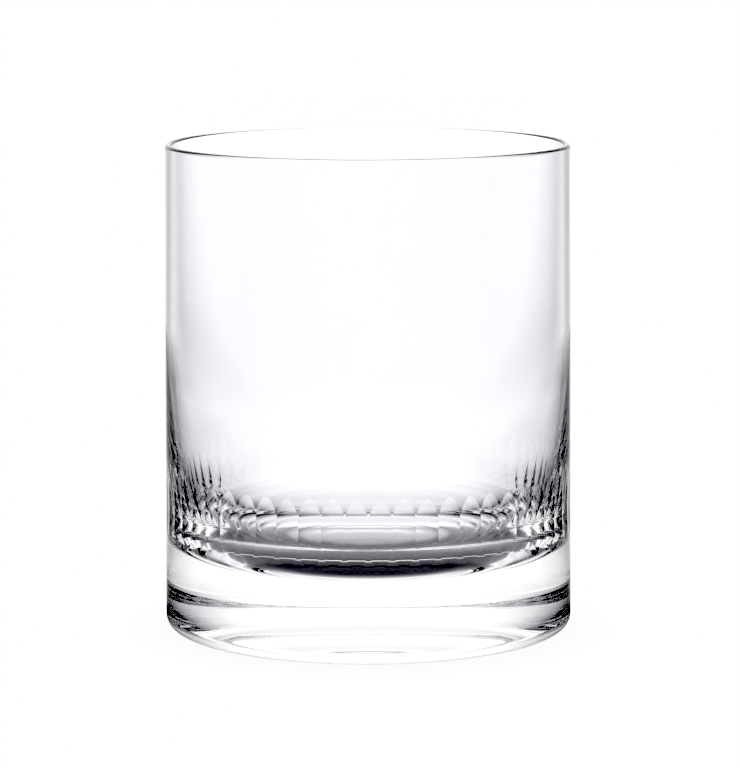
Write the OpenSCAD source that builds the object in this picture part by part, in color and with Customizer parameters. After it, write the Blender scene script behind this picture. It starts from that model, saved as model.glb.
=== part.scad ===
// Straight-sided whiskey tumbler: one piece of clear glass with a heavy
// solid foot, a thin rounded rim and a band of wheel-cut flutes low on the
// wall. Millimetres, +Z up, origin at the middle of the resting plane.

/* [Body] */
// Overall height
height = 95.5; // [88:0.5:108]
// Outside diameter at the rim
rim_d = 79; // [76:0.5:86]
// Outside diameter at the foot
foot_d = 80; // [77:0.5:88]
// Glass thickness at the rim, where the lip is fully rounded
rim_wall = 1.3; // [1.1:0.1:1.8]
// Radius of the rounded outer edge at the foot
foot_round = 2.7; // [2:0.1:3.2]

/* [Bowl] */
// Height of the bowl's flat floor above the resting plane
floor_h = 13.5; // [11:0.5:16]
// Radius of the curve that rises from that floor
bowl_round = 17.5; // [12:0.5:20]
// Radius of the long, flat curve from there to the thin wall
side_round = 260; // [180:10:400]
// Height where the long curve ends and the thin wall begins
side_top = 60; // [50:1:70]
// Glass thickness where the thin wall begins
side_wall = 1.3; // [1.1:0.1:1.8]

/* [Foot] */
// Diameter of the hollow ground under the foot
punt_d = 62; // [40:1:64]
// Depth of that hollow at its middle, above its bevelled edge
punt_h = 3.7; // [1:0.1:4.5]
// Width and depth of the bevel ground round the edge of the hollow
bevel = 0.9; // [0.3:0.1:1.2]

/* [Cut band] */
// Number of upright cuts round the wall
cut_count = 56; // [44:1:60]
// Height of the middle of the cuts above the resting plane
cut_mid = 26; // [24:0.5:40]
// Depth of each cut at its middle
cut_depth = 0.15; // [0.1:0.01:0.18]
// Radius of the cutting wheel, which sets how long a cut is
wheel_r = 141; // [120:1:250]
// Radius of the wheel's crowned edge, which sets how wide a cut is
wheel_crown = 42; // [30:1:80]

/* [Hidden] */
$fn = 192;

rim_r = rim_d / 2;
foot_r = foot_d / 2;
lip = rim_wall / 2;
// The outer wall leans in by lean degrees from the foot to the rim.
lean = atan((foot_r - rim_r) / height);
function outer_r(z) = foot_r - (foot_r - rim_r) * z / height;
// Middle of the foot's rounded edge, which touches the resting plane and the wall.
round_x = foot_r - foot_round * (1 + sin(lean)) / cos(lean);
// Middle of the lip, and the inner face of the thin wall at its top and bottom.
lip_x = outer_r(height - lip) - lip / cos(lean);
inner_x = lip_x - lip;
top_z = height - lip;
side_x = outer_r(side_top) - side_wall;
// Slope of the thin wall's inner face, and middle of the long curve below it.
side_a = -atan((side_x - inner_x) / (top_z - side_top));
side_cx = side_x - side_round * cos(side_a);
side_cz = side_top + side_round * sin(side_a);
// Slope where the long curve meets the curve that rises from the floor.
join_a = asin((side_cz - bowl_round - floor_h) / (side_round - bowl_round));
bowl_x = side_cx + (side_round - bowl_round) * cos(join_a);
bowl_z = floor_h + bowl_round;
// The long curve is so flat that it's turned as this many short cones, which stay
// within two hundredths of a millimetre of it.
side_steps = 6;
// Radius of the sphere that leaves a hollow punt_d wide and punt_h deep.
punt_r = (punt_d * punt_d / 4 + punt_h * punt_h) / (2 * punt_h);
// Half the width of the cutting wheel, wider than any cut it leaves.
wheel_half = 3.4;
// Reach of the wheel's working edge above and below the middle of a cut.
wheel_arc = 3.6;

// Half section of the glass as if it were solid to the rim.
module outer_section() {
    polygon([
        [0, 0], [round_x, 0],
        [round_x + foot_round * cos(lean), foot_round * (1 + sin(lean))],
        [lip_x + lip * cos(lean), height - lip + lip * sin(lean)],
        [lip_x, height], [0, height]
    ]);
    translate([round_x, foot_round]) circle(r = foot_round);
}

// Half section of the space that the bowl holds, open at the top.
module bowl_section() {
    polygon(concat(
        [[0, floor_h], [bowl_x, floor_h], [bowl_x, bowl_z]],
        [for (i = [0 : side_steps]) let (t = join_a + (side_a - join_a) * i / side_steps)
            [side_cx + side_round * cos(t), side_cz - side_round * sin(t)]],
        [[inner_x, top_z], [inner_x, height + 1], [0, height + 1]]
    ));
    translate([bowl_x, bowl_z]) circle(r = bowl_round);
}

// Half section of the hollow under the foot: a shallow dome with a bevelled edge.
module hollow_section() {
    intersection() {
        translate([0, bevel + punt_h - punt_r]) circle(r = punt_r);
        polygon([
            [0, -1], [punt_d / 2 + bevel + 1, -1], [punt_d / 2, bevel],
            [punt_d / 2, bevel + punt_h + 1], [0, bevel + punt_h + 1]
        ]);
    }
}

// Glass of the wall and foot, turned about its axis, before any cutting.
module blank() {
    rotate_extrude() difference() {
        outer_section();
        bowl_section();
        hollow_section();
    }
    rotate_extrude() translate([lip_x, height - lip]) circle(r = lip, $fn = 48);
}

// Working edge of the cutting wheel: a short arc of a crowned disc whose axis
// lies across the wall, reaching in at +X to the depth of one cut.
module wheel_edge() {
    translate([outer_r(cut_mid) - cut_depth + wheel_r, 0, cut_mid])
        rotate([90, 0, 0]) rotate([0, 0, 180 - wheel_arc])
            rotate_extrude(angle = 2 * wheel_arc) intersection() {
                translate([wheel_r - wheel_crown, 0]) circle(r = wheel_crown);
                translate([wheel_r - 3, -wheel_half]) square([4, 2 * wheel_half]);
            }
}

// The whole glass, with its band of cuts.
module tumbler() {
    color([0.86, 0.89, 0.93, 0.45]) difference() {
        blank();
        for (i = [0 : cut_count - 1]) rotate([0, 0, (i + 0.5) * 360 / cut_count]) wheel_edge();
    }
}

tumbler();
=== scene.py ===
"""Looks of a wheel-cut whiskey tumbler: one piece of clear crystal, its studio and its camera.

The glass is turned from the same measurements as the CAD part, but with a dense mesh whose
normals are worked out from the surface's own formula, because every ray through the glass is
bent by them. Lengths in the builder functions are millimetres; the mesh is made in metres.
"""
import math
import random

import bpy
import numpy as np
from mathutils import Matrix, Vector


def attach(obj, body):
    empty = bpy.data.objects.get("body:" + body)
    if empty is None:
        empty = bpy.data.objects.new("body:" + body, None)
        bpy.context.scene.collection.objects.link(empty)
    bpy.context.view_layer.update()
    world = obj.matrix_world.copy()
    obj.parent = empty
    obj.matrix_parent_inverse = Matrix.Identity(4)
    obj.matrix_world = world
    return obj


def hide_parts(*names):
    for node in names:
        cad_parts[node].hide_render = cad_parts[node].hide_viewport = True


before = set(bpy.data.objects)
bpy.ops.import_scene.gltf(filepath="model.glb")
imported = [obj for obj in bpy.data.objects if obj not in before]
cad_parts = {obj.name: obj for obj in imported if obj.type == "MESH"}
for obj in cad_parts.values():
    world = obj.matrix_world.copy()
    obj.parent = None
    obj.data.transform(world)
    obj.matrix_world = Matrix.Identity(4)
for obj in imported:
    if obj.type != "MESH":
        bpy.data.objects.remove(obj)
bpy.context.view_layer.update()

# ---------------------------------------------------------------- measurements, in millimetres
HEIGHT = 95.5
RIM_R = 39.5
FOOT_R = 40.0
RIM_WALL = 1.3
FOOT_ROUND = 2.7
FLOOR_H = 13.5
BOWL_ROUND = 17.5
SIDE_ROUND = 260.0
SIDE_TOP = 60.0
SIDE_WALL = 1.3
PUNT_R = 31.0
PUNT_H = 3.7
BEVEL = 0.9
CUTS = 56
CUT_MID = 26.0
CUT_DEPTH = 0.15
WHEEL_R = 141.0
CROWN = 42.0

LEAN = math.atan((FOOT_R - RIM_R) / HEIGHT)
PITCH = 2 * math.pi / CUTS
HALF = PITCH / 2
# mesh columns inside one cut, and on the land between two cuts
COLS_CUT, COLS_LAND = 6, 2

# The wheel was held by hand: each cut is a hair deeper or shallower, higher or lower than the next.
hand = random.Random(41)
DEPTHS = np.array([CUT_DEPTH * (1 + 0.04 * hand.uniform(-1, 1)) for _ in range(CUTS)])
MIDS = np.array([CUT_MID + 0.25 * hand.uniform(-1, 1) for _ in range(CUTS)])


def outer_r(z):
    return FOOT_R - (FOOT_R - RIM_R) * z / HEIGHT


def cut_r(rel, z, cut):
    """Distance from the axis of the surface that the wheel leaves, rel radians from the cut's middle."""
    depth, mid = DEPTHS[cut], MIDS[cut]
    wheel_x = outer_r(CUT_MID) - depth + WHEEL_R
    r = np.full(np.broadcast(rel, z, cut).shape, outer_r(CUT_MID), float)
    for _ in range(8):
        across = r * np.sin(rel)
        reach = (WHEEL_R - CROWN) + np.sqrt(np.maximum(CROWN ** 2 - across ** 2, 0))
        r = (wheel_x - np.sqrt(np.maximum(reach ** 2 - (z - mid) ** 2, 0))) / np.cos(rel)
    return r


def half_widths(z):
    """Radians from the middle of each cut to its edge at height z, 0 where the wheel did not reach."""
    every, edge = np.arange(CUTS), outer_r(z)
    lo, hi = np.zeros(CUTS), np.full(CUTS, PITCH)
    for _ in range(34):
        m = (lo + hi) / 2
        inside = cut_r(m, z, every) < edge
        lo, hi = np.where(inside, m, lo), np.where(inside, hi, m)
    return np.where(cut_r(np.zeros(CUTS), z, every) < edge - 1e-9, lo, 0.0)


def reach_of_cuts():
    ends = []
    for way in (-1, 1):
        lo, hi = 0.0, 30.0
        for _ in range(40):
            m = (lo + hi) / 2
            if half_widths(CUT_MID + way * m).any():
                lo = m
            else:
                hi = m
        ends.append(CUT_MID + way * lo)
    return ends


CUT_LO, CUT_HI = reach_of_cuts()


def section():
    """The turned outline as named runs of (r, z, normal r, normal z), from under the foot's middle to the bowl's."""
    sl, cl = math.sin(LEAN), math.cos(LEAN)
    runs = []
    # hollow under the foot
    ball = (PUNT_R ** 2 + PUNT_H ** 2) / (2 * PUNT_H)
    top = math.asin(PUNT_R / ball)
    n = 22
    runs.append(("punt", [(ball * math.sin(top * i / n), BEVEL + PUNT_H - ball + ball * math.cos(top * i / n),
                           -math.sin(top * i / n), -math.cos(top * i / n)) for i in range(n + 1)]))
    ring = FOOT_R - FOOT_ROUND * (1 + sl) / cl
    runs.append(("bevel", [(PUNT_R + BEVEL * t, BEVEL * (1 - t), -math.sqrt(0.5), -math.sqrt(0.5)) for t in (0, .5, 1)]))
    inner = PUNT_R + BEVEL
    runs.append(("ring", [(inner + (ring - inner) * t, 0.0, 0.0, -1.0) for t in (0, .5, 1)]))
    n = 12
    turn = math.pi / 2 + LEAN
    runs.append(("foot", [(ring + FOOT_ROUND * math.sin(turn * i / n), FOOT_ROUND - FOOT_ROUND * math.cos(turn * i / n),
                           math.sin(turn * i / n), -math.cos(turn * i / n)) for i in range(n + 1)]))
    # outer wall, with rows packed where the cuts start and end
    lip = RIM_WALL / 2
    z0, z1 = FOOT_ROUND * (1 + sl), HEIGHT - lip + lip * sl
    lip_x = outer_r(HEIGHT - lip) - lip / cl
    u = np.linspace(0, 1, 45)
    zs = list(np.linspace(z0, CUT_LO - 0.8, 6)) + list(np.linspace(CUT_LO - 0.4, CUT_LO, 3)) \
        + list(CUT_LO + (CUT_HI - CUT_LO) * (0.5 * u + 0.5 * (0.5 - 0.5 * np.cos(u * math.pi))))[1:-1] \
        + list(np.linspace(CUT_HI, CUT_HI + 0.8, 4)) + list(np.linspace(CUT_HI + 2.5, z1, 10))
    runs.append(("wall", [(outer_r(z), z, cl, sl) for z in zs]))
    n = 14
    runs.append(("lip", [(lip_x + lip * math.cos(t), HEIGHT - lip + lip * math.sin(t), math.cos(t), math.sin(t))
                         for t in (LEAN + (math.pi - LEAN) * i / n for i in range(n + 1))]))
    # straight inner wall, then a long side arc, a tighter bottom arc and the flat floor
    inner_x, top_z = lip_x - lip, HEIGHT - lip
    side_x = outer_r(SIDE_TOP) - SIDE_WALL
    run = math.hypot(side_x - inner_x, top_z - SIDE_TOP)
    nr, nz = -(top_z - SIDE_TOP) / run, -(side_x - inner_x) / run
    n = 10
    runs.append(("inner", [(inner_x + (side_x - inner_x) * i / n, top_z + (SIDE_TOP - top_z) * i / n, nr, nz)
                           for i in range(n + 1)]))
    a0 = -math.atan2(side_x - inner_x, top_z - SIDE_TOP)
    x1, y1 = side_x - SIDE_ROUND * math.cos(a0), SIDE_TOP + SIDE_ROUND * math.sin(a0)
    a1 = math.asin((y1 - BOWL_ROUND - FLOOR_H) / (SIDE_ROUND - BOWL_ROUND))
    n = 24
    runs.append(("side", [(x1 + SIDE_ROUND * math.cos(t), y1 - SIDE_ROUND * math.sin(t), -math.cos(t), math.sin(t))
                          for t in (a0 + (a1 - a0) * i / n for i in range(n + 1))]))
    x2, y2 = x1 + (SIDE_ROUND - BOWL_ROUND) * math.cos(a1), y1 - (SIDE_ROUND - BOWL_ROUND) * math.sin(a1)
    n = 26
    runs.append(("bowl", [(x2 + BOWL_ROUND * math.cos(t), y2 - BOWL_ROUND * math.sin(t), -math.cos(t), math.sin(t))
                          for t in (a1 + (math.pi / 2 - a1) * i / n for i in range(n + 1))]))
    n = 4
    runs.append(("floor", [(x2 * (1 - i / n), FLOOR_H, 0.0, 1.0) for i in range(n + 1)]))
    return runs


def columns(edges):
    """Angles of every mesh column when each cut reaches its own edge, in radians, to either side of its middle."""
    a = np.linspace(-edges, edges, COLS_CUT + 1, axis=1)[:, :-1]
    b = np.linspace(edges, PITCH - np.roll(edges, -1), COLS_LAND + 1, axis=1)[:, :-1]
    b[:, COLS_LAND // 2] = HALF
    return (np.concatenate([a, b], 1) + (np.arange(CUTS)[:, None] + 0.5) * PITCH).ravel()


def wall_r(th, z):
    """Distance from the axis of the cut wall: the deepest of the blank and the two nearest cuts."""
    r = np.full(len(th), outer_r(z))
    near = np.floor(th / PITCH).astype(int)
    for k in (near - 1, near, near + 1):
        rel = th - (k + 0.5) * PITCH
        ok = np.abs(rel) < PITCH * 0.9
        r = np.where(ok, np.minimum(r, cut_r(np.where(ok, rel, 0.0), z, k % CUTS)), r)
    return r


def cut_normal(theta, z, owner):
    e, cut = 1e-4, owner % CUTS
    rel, zz = theta - (owner + 0.5) * PITCH, np.full(len(theta), z)
    r = cut_r(rel, zz, cut)
    drt = (cut_r(rel + e, zz, cut) - cut_r(rel - e, zz, cut)) / (2 * e)
    drz = (cut_r(rel, zz + e, cut) - cut_r(rel, zz - e, cut)) / (2 * e)
    ct, st = np.cos(theta), np.sin(theta)
    n = np.stack([ct + drt / r * st, st - drt / r * ct, -drz], 1)
    return n / np.linalg.norm(n, axis=1, keepdims=True)


def glass_mesh(name):
    per = COLS_CUT + COLS_LAND
    ncol = CUTS * per
    rest, least = 0.55 * HALF, 0.10 * HALF
    verts, rows, count = [], [], 0
    for kind, pts in section():
        for r, z, nr, nz in pts:
            reach, edges = np.zeros(CUTS), np.full(CUTS, rest)
            if kind == "wall":
                gap = max(CUT_LO - z, z - CUT_HI, 0.0)
                reach = half_widths(z) if gap == 0.0 else reach
                edges = np.clip(reach, least + (rest - least) * min(1, gap / 6.0), 0.965 * HALF)
            prev = rows[-1] if rows else None
            if r < 1e-9:
                verts.append(np.array([[0, 0, z]]))
                idx, th = np.full(ncol, count), (prev["th"] if prev else columns(edges))
                count += 1
            elif prev and abs(prev["r"] - r) < 1e-7 and abs(prev["z"] - z) < 1e-7:
                idx, th = prev["idx"], prev["th"]
            else:
                th = columns(edges)
                rr = wall_r(th, z) if reach.any() else np.full(ncol, float(r))
                verts.append(np.stack([rr * np.cos(th), rr * np.sin(th), np.full(ncol, z)], 1))
                idx = np.arange(count, count + ncol)
                count += ncol
            rows.append(dict(kind=kind, r=r, z=z, nr=nr, nz=nz, idx=idx, th=th, reach=reach))
    verts = np.concatenate(verts)
    col = np.tile(np.arange(per), CUTS)
    owner = np.repeat(np.arange(CUTS), per) + np.where(col >= COLS_CUT + COLS_LAND // 2, 1, 0)
    faces, normals = [], []
    for a, b in zip(rows[:-1], rows[1:]):
        if a["kind"] != b["kind"]:
            continue
        ra, rb = a["reach"][owner % CUTS], b["reach"][owner % CUTS]
        ground = np.where(col < COLS_CUT, (ra > 0) | (rb > 0), (ra >= HALF) & (rb >= HALF))
        corner = []
        for row, shift in ((a, 0), (a, 1), (b, 1), (b, 0)):
            th = np.roll(row["th"], -shift)
            if shift:
                th[-1] += 2 * math.pi
            n = np.stack([row["nr"] * np.cos(th), row["nr"] * np.sin(th), np.full(ncol, row["nz"])], 1)
            if ground.any():
                n = np.where(ground[:, None], cut_normal(th, row["z"], owner), n)
            corner.append(n)
        ia, ib = a["idx"], b["idx"]
        ja, jb = np.roll(ia, -1), np.roll(ib, -1)
        if ia[0] == ia[1]:
            quad, norm = (ia, jb, ib), (corner[0], corner[2], corner[3])
        elif ib[0] == ib[1]:
            quad, norm = (ia, ja, ib), (corner[0], corner[1], corner[3])
        else:
            quad, norm = (ia, ja, jb, ib), corner
        faces += np.stack(quad, 1).tolist()
        normals.append(np.stack(norm, 1).reshape(-1, 3))
    mesh = bpy.data.meshes.new(name)
    mesh.from_pydata((verts / 1000).tolist(), [], faces)
    mesh.update()
    mesh.polygons.foreach_set("use_smooth", [True] * len(mesh.polygons))
    mesh.normals_split_custom_set(np.concatenate(normals).tolist())
    ob = bpy.data.objects.new(name, mesh)
    bpy.context.scene.collection.objects.link(ob)
    return ob


# ---------------------------------------------------------------- node helpers
def node(tree, kind, **values):
    n = tree.nodes.new(kind)
    for k, v in values.items():
        setattr(n, k, v)
    return n


def maths(tree, op, a, b=None, clamp=False):
    m = node(tree, "ShaderNodeMath", operation=op, use_clamp=clamp)
    for k, v in enumerate((a, b)):
        if v is None:
            continue
        if isinstance(v, (int, float)):
            m.inputs[k].default_value = v
        else:
            tree.links.new(v, m.inputs[k])
    return m.outputs[0]


def spread(tree, value, a, b, lo, hi, smooth=True):
    m = node(tree, "ShaderNodeMapRange", interpolation_type="SMOOTHSTEP" if smooth else "LINEAR", clamp=True)
    tree.links.new(value, m.inputs["Value"])
    for k, v in zip(("From Min", "From Max", "To Min", "To Max"), (a, b, lo, hi)):
        m.inputs[k].default_value = v
    return m.outputs[0]


# ---------------------------------------------------------------- the crystal
def crystal():
    m = bpy.data.materials.new("clear_crystal")
    m.use_nodes = True
    t = m.node_tree
    t.nodes.clear()
    out = node(t, "ShaderNodeOutputMaterial")
    g = node(t, "ShaderNodeBsdfPrincipled")
    t.links.new(g.outputs[0], out.inputs["Surface"])
    g.inputs["Transmission Weight"].default_value = 1.0
    g.inputs["IOR"].default_value = 1.52
    place = node(t, "ShaderNodeTexCoord")
    xyz = node(t, "ShaderNodeSeparateXYZ")
    t.links.new(place.outputs["Object"], xyz.inputs[0])
    # faint greyish lavender cast, uneven by a hair, as in lead-free crystal
    cloud = node(t, "ShaderNodeTexNoise")
    cloud.inputs["Scale"].default_value = 22.0
    cloud.inputs["Detail"].default_value = 2.0
    t.links.new(place.outputs["Object"], cloud.inputs["Vector"])
    tint = node(t, "ShaderNodeMix", data_type="RGBA")
    tint.inputs["A"].default_value = (0.975, 0.978, 0.992, 1)
    tint.inputs["B"].default_value = (0.992, 0.992, 0.998, 1)
    t.links.new(cloud.outputs["Fac"], tint.inputs["Factor"])
    t.links.new(tint.outputs["Result"], g.inputs["Base Color"])
    # the wheel-cut band was ground and polished by hand, so its gloss is a touch softer than the fire-polished wall
    band = maths(t, "MULTIPLY", spread(t, xyz.outputs["Z"], (CUT_LO - 0.6) / 1000, (CUT_LO + 0.6) / 1000, 0, 1),
                 spread(t, xyz.outputs["Z"], (CUT_HI - 0.6) / 1000, (CUT_HI + 0.6) / 1000, 1, 0))
    grain = node(t, "ShaderNodeTexNoise")
    grain.inputs["Scale"].default_value = 900.0
    grain.inputs["Detail"].default_value = 3.0
    t.links.new(place.outputs["Object"], grain.inputs["Vector"])
    rough = maths(t, "MULTIPLY", maths(t, "MULTIPLY", band, grain.outputs["Fac"]), 0.012)
    t.links.new(rough, g.inputs["Roughness"])
    # slow waviness of pressed and fire-polished glass, a few microns deep
    wave = node(t, "ShaderNodeTexNoise")
    wave.inputs["Scale"].default_value = 60.0
    wave.inputs["Detail"].default_value = 1.0
    t.links.new(place.outputs["Object"], wave.inputs["Vector"])
    bump = node(t, "ShaderNodeBump")
    bump.inputs["Strength"].default_value = 1.0
    bump.inputs["Distance"].default_value = 0.000004
    t.links.new(wave.outputs["Fac"], bump.inputs["Height"])
    t.links.new(bump.outputs[0], g.inputs["Normal"])
    return m


glass = glass_mesh("tumbler_glass")
glass.data.materials.append(crystal())
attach(glass, "root")
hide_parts("tumbler")

# ---------------------------------------------------------------- camera
cam_data = bpy.data.cameras.new("camera")
cam = bpy.data.objects.new("camera", cam_data)
bpy.context.scene.collection.objects.link(cam)
cam_data.sensor_fit = "AUTO"
cam_data.sensor_width = 36.0
cam_data.lens = 175.38
cam_data.clip_start, cam_data.clip_end = 0.01, 20.0
tilt, turn, roll = math.radians(8.299), math.radians(0.0298), math.radians(0.1102)
aim = Vector((math.sin(turn) * math.cos(tilt), math.cos(turn) * math.cos(tilt), -math.sin(tilt)))
cam.location = (0, -0.72816, 0.15420)
cam.rotation_mode = "QUATERNION"
cam.rotation_quaternion = aim.to_track_quat("-Z", "Y") @ Matrix.Rotation(-roll, 3, "Z").to_quaternion()
bpy.context.scene.camera = cam
bpy.context.view_layer.update()

# ---------------------------------------------------------------- studio
# A light tent turned with the camera, as a photographer turns it round a still life: a white
# backdrop behind the glass that falls off to black cloth at the sides, and a pale roof.
# Levels by elevation (rows) and by degrees away from straight behind the glass (columns).
TENT_AZ = (0, 20, 28, 38, 48, 58, 70, 85, 120, 180)
TENT_EL = (-90, -20, 0, 18, 24, 32, 48, 62, 76, 90)
TENT = (
    (0.30, 0.30, 0.30, 0.25, 0.20, 0.15, 0.10, 0.00, 0.00, 0.00),
    (1.00, 1.00, 0.85, 0.55, 0.35, 0.18, 0.05, 0.00, 0.00, 0.02),
    (1.00, 1.00, 0.93, 0.76, 0.62, 0.50, 0.25, 0.00, 0.00, 0.02),
    (1.00, 1.00, 0.93, 0.75, 0.52, 0.35, 0.12, 0.00, 0.00, 0.02),
    (0.98, 0.98, 0.92, 0.74, 0.46, 0.24, 0.06, -.05, -.05, 0.10),
    (0.86, 0.84, 0.78, 0.66, 0.46, 0.28, 0.25, 0.38, 0.45, 0.60),
    (0.80, 0.76, 0.72, 0.68, 0.66, 0.68, 0.75, 0.90, 1.00, 1.00),
    (0.74, 0.74, 0.74, 0.76, 0.80, 0.85, 0.95, 1.00, 1.00, 1.00),
    (1.00, 1.00, 1.00, 1.00, 1.00, 1.00, 1.00, 1.00, 1.00, 1.00),
    (1.00, 1.00, 1.00, 1.00, 1.00, 1.00, 1.00, 1.00, 1.00, 1.00),
)
# The table as it is seen through the glass, by distance from the axis in millimetres (rows) and by
# degrees away from straight behind (columns): painted shade, grey and black where the glass shades it, lighter again
# close under the middle of the foot, white beyond.
TABLE_AZ = (0, 8, 15, 25, 37, 50, 75, 105, 135, 165)
TABLE_R = (0, 8, 13, 16, 20, 24, 27, 29, 32, 36, 40, 42, 44, 48, 53, 60, 75, 110, 190, 240, 340, 480)
TABLE = (
    (0.46, 0.46, 0.46, 0.46, 0.46, 0.46, 0.46, 0.46, 0.38, 0.38),
    (0.50, 0.50, 0.50, 0.50, 0.50, 0.48, 0.47, 0.42, 0.31, 0.31),
    (0.83, 0.83, 0.83, 0.82, 0.78, 0.74, 0.50, 0.38, 0.17, 0.08),
    (0.86, 0.85, 0.84, 0.80, 0.72, 0.62, 0.52, 0.34, 0.01, -.05),
    (0.38, 0.38, 0.36, 0.34, 0.31, 0.28, 0.28, 0.15, -.04, -.065),
    (0.22, 0.22, 0.22, 0.22, 0.22, 0.22, 0.22, 0.06, -.04, -.055),
    (0.16, 0.16, 0.16, 0.16, 0.16, 0.16, 0.18, 0.06, -.01, -.02),
    (0.14, 0.14, 0.14, 0.14, 0.14, 0.14, 0.16, 0.08, 0.01, 0.01),
    (0.12, 0.12, 0.12, 0.12, 0.12, 0.12, 0.12, 0.08, 0.03, 0.03),
    (0.10, 0.10, 0.10, 0.10, 0.08, 0.06, 0.06, 0.08, 0.12, 0.12),
    (0.10, 0.10, 0.08, 0.04, 0.00, 0.00, 0.00, 0.22, 0.40, 0.18),
    (0.78, 0.76, 0.70, 0.48, 0.12, 0.00, 0.00, 0.40, 0.60, 0.30),
    (0.82, 0.81, 0.79, 0.66, 0.30, 0.05, 0.00, 0.30, 0.80, 0.60),
    (0.83, 0.83, 0.82, 0.78, 0.58, 0.24, 0.00, 0.15, 0.80, 0.70),
    (0.90, 0.90, 0.89, 0.86, 0.74, 0.36, 0.00, 0.05, 0.40, 0.40),
    (0.98, 0.98, 0.97, 0.93, 0.72, 0.34, 0.00, 0.00, 0.15, 0.15),
    (1.00, 1.00, 1.00, 0.93, 0.60, 0.15, 0.00, 0.00, 0.00, 0.00),
    (1.00, 1.00, 1.00, 0.92, 0.70, 0.34, 0.00, 0.00, 0.00, 0.00),
    (1.00, 1.00, 1.00, 0.74, 0.42, 0.18, 0.00, 0.00, 0.00, 0.00),
    (1.00, 1.00, 0.90, 0.35, 0.15, 0.08, 0.00, 0.00, 0.00, 0.00),
    (1.00, 1.00, 0.70, 0.30, 0.30, 0.25, 0.05, 0.00, 0.00, 0.00),
    (1.00, 1.00, 0.50, 0.40, 0.70, 0.60, 0.15, 0.00, 0.00, 0.00),
)
# what the four surfaces of the wall reflect away has to be made up by the light behind it
GAIN = 1.22
# The picture is developed with its darkest tones pressed down to black, as such pictures are; the
# charts above are in tones of the developed picture.
BLACK = 0.16


def undeveloped(v):
    """Level of the light for a tone: a small negative tone is deep grey that develops to black, 0 is no light."""
    return v + BLACK * (1 - v) if v else 0.0


def ramp(tree, factor, stops, values):
    """Values against a factor of 0 to 1, joined by straight lines."""
    r = node(tree, "ShaderNodeValToRGB")
    r.color_ramp.interpolation = "LINEAR"
    e = r.color_ramp.elements
    while len(e) < len(stops):
        e.new(0.5)
    for k, (at, v) in enumerate(zip(stops, values)):
        e[k].position = at
    for k, (at, v) in enumerate(zip(stops, values)):
        v = undeveloped(v)
        e[k].color = (v, v, v, 1)
    tree.links.new(factor, r.inputs["Fac"])
    return r.outputs["Color"]


def squeeze(r):
    """Maps millimetres from the axis to 0 to 1, with most room for what lies near the glass."""
    return r / (r + 60)


def chart(tree, x, x_stops, y, y_stops, levels):
    """Level at (x, y) from a chart: one ramp over y for each x stop, blended in x."""
    lo, hi = y_stops[0], y_stops[-1]
    f = spread(tree, y, lo, hi, 0, 1, smooth=False)
    at = [(s - lo) / (hi - lo) for s in y_stops]
    cols = [ramp(tree, f, at, [row[k] for row in levels]) for k in range(len(x_stops))]
    total = cols[0]
    for k in range(1, len(cols)):
        m = node(tree, "ShaderNodeMix", data_type="RGBA")
        tree.links.new(spread(tree, x, x_stops[k - 1], x_stops[k], 0, 1, smooth=False), m.inputs["Factor"])
        tree.links.new(total, m.inputs["A"])
        tree.links.new(cols[k], m.inputs["B"])
        total = m.outputs["Result"]
    grey = node(tree, "ShaderNodeRGBToBW")
    tree.links.new(total, grey.inputs[0])
    return grey.outputs[0]


def lamp(name):
    m = bpy.data.materials.new(name)
    m.use_nodes = True
    m.cycles.emission_sampling = "NONE"
    t = m.node_tree
    t.nodes.clear()
    out = node(t, "ShaderNodeOutputMaterial")
    glow = node(t, "ShaderNodeEmission")
    t.links.new(glow.outputs[0], out.inputs["Surface"])
    return m, t, glow


def shine(tree, glow, level, gain):
    """Grey levels lean a little to lavender, as the studio's shadows do."""
    shade = node(tree, "ShaderNodeMix", data_type="RGBA")
    shade.inputs["A"].default_value = (0.955, 0.95, 1.0, 1)
    shade.inputs["B"].default_value = (1, 1, 1, 1)
    tree.links.new(level, shade.inputs["Factor"])
    tree.links.new(shade.outputs["Result"], glow.inputs["Color"])
    tree.links.new(maths(tree, "MULTIPLY", level, gain), glow.inputs["Strength"])


def polar(tree, turned_with=None):
    """Place on a studio surface, and degrees away from straight behind the glass, turned with another object."""
    place = node(tree, "ShaderNodeTexCoord")
    turned = node(tree, "ShaderNodeTexCoord", object=turned_with)
    xyz = node(tree, "ShaderNodeSeparateXYZ")
    tree.links.new(turned.outputs["Object"], xyz.inputs[0])
    az = maths(tree, "MULTIPLY", maths(tree, "ABSOLUTE", maths(tree, "ARCTAN2", xyz.outputs[0], xyz.outputs[1])), 57.29578)
    return place.outputs["Object"], az


def tent_material():
    m, t, glow = lamp("light_tent")
    vec, az = polar(t)
    unit = node(t, "ShaderNodeVectorMath", operation="NORMALIZE")
    t.links.new(vec, unit.inputs[0])
    xyz = node(t, "ShaderNodeSeparateXYZ")
    t.links.new(unit.outputs[0], xyz.inputs[0])
    el = maths(t, "MULTIPLY", maths(t, "ARCSINE", xyz.outputs[2]), 57.29578)
    shine(t, glow, chart(t, az, TENT_AZ, el, TENT_EL, TENT), GAIN)
    return m


bpy.ops.mesh.primitive_uv_sphere_add(segments=96, ring_count=48, radius=4.0, location=(0, 0, 0.04))
tent = bpy.context.object
tent.name = "light_tent"
for p in tent.data.polygons:
    p.use_smooth = True
tent.data.materials.append(tent_material())
tent.parent = cam
tent.matrix_parent_inverse = cam.matrix_world.inverted()


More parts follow.
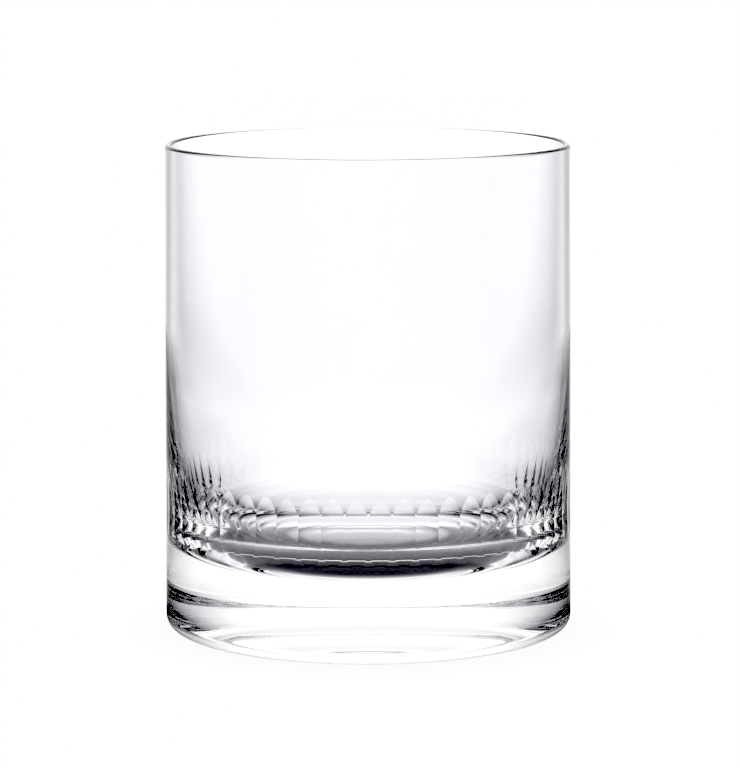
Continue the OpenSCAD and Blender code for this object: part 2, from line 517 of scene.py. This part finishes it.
def table_material():
    """The table as the camera sees it beside the glass: white, with a soft painted shade at the foot."""
    m, t, glow = lamp("table_top")
    vec, az = polar(t)
    far = node(t, "ShaderNodeVectorMath", operation="LENGTH")
    t.links.new(vec, far.inputs[0])
    glow.inputs["Color"].default_value = (1, 1, 1, 1)
    # painted shade: the emission falls to 0.97 near the foot, 36 to 50 mm from the axis
    t.links.new(spread(t, far.outputs["Value"], 0.036, 0.050, 0.97, 1.0), glow.inputs["Strength"])
    return m


def painted_table_shade_material():
    """The table as it is seen through the glass, with the glass's shadow painted on it; its painted shades keep turned
    with the tent.
    """
    m, t, glow = lamp("table_painted_shade")
    vec, az = polar(t, tent)
    far = node(t, "ShaderNodeVectorMath", operation="LENGTH")
    t.links.new(vec, far.inputs[0])
    r = maths(t, "MULTIPLY", far.outputs["Value"], 1000.0)
    near = maths(t, "DIVIDE", r, maths(t, "ADD", r, 60.0))
    shine(t, glow, chart(t, az, TABLE_AZ, near, [squeeze(v) for v in TABLE_R], TABLE), GAIN)
    return m


def table_disc(name, material, z, seen_by_camera):
    bpy.ops.mesh.primitive_circle_add(vertices=128, radius=3.4, fill_type="NGON", location=(0, 0, z))
    ob = bpy.context.object
    ob.name = name
    ob.data.materials.append(material)
    ob.visible_camera = seen_by_camera
    for k in ("visible_glossy", "visible_transmission"):
        setattr(ob, k, not seen_by_camera)
    for k in ("visible_diffuse", "visible_volume_scatter", "visible_shadow"):
        setattr(ob, k, False)


table_disc("table_top", table_material(), -0.0002, True)
# this disc is seen only through the glass and carries the painted shadow of the glass
table_disc("table_painted_shade", painted_table_shade_material(), -0.0001, False)

world = bpy.data.worlds.new("world")
bpy.context.scene.world = world
world.use_nodes = True
world.node_tree.nodes["Background"].inputs["Color"].default_value = (1, 1, 1, 1)
world.node_tree.nodes["Background"].inputs["Strength"].default_value = 1.0

sc = bpy.context.scene
sc.view_settings.view_transform = "Standard"
sc.view_settings.look = "None"
sc.view_settings.use_curve_mapping = True
sc.view_settings.curve_mapping.black_level = (BLACK, BLACK, BLACK)
sc.view_settings.curve_mapping.update()
sc.cycles.max_bounces = 40
sc.cycles.transmission_bounces = 40
sc.cycles.glossy_bounces = 40
sc.cycles.caustics_reflective = True
sc.cycles.caustics_refractive = True
sc.cycles.blur_glossy = 0.0
sc.cycles.sample_clamp_indirect = 0.0
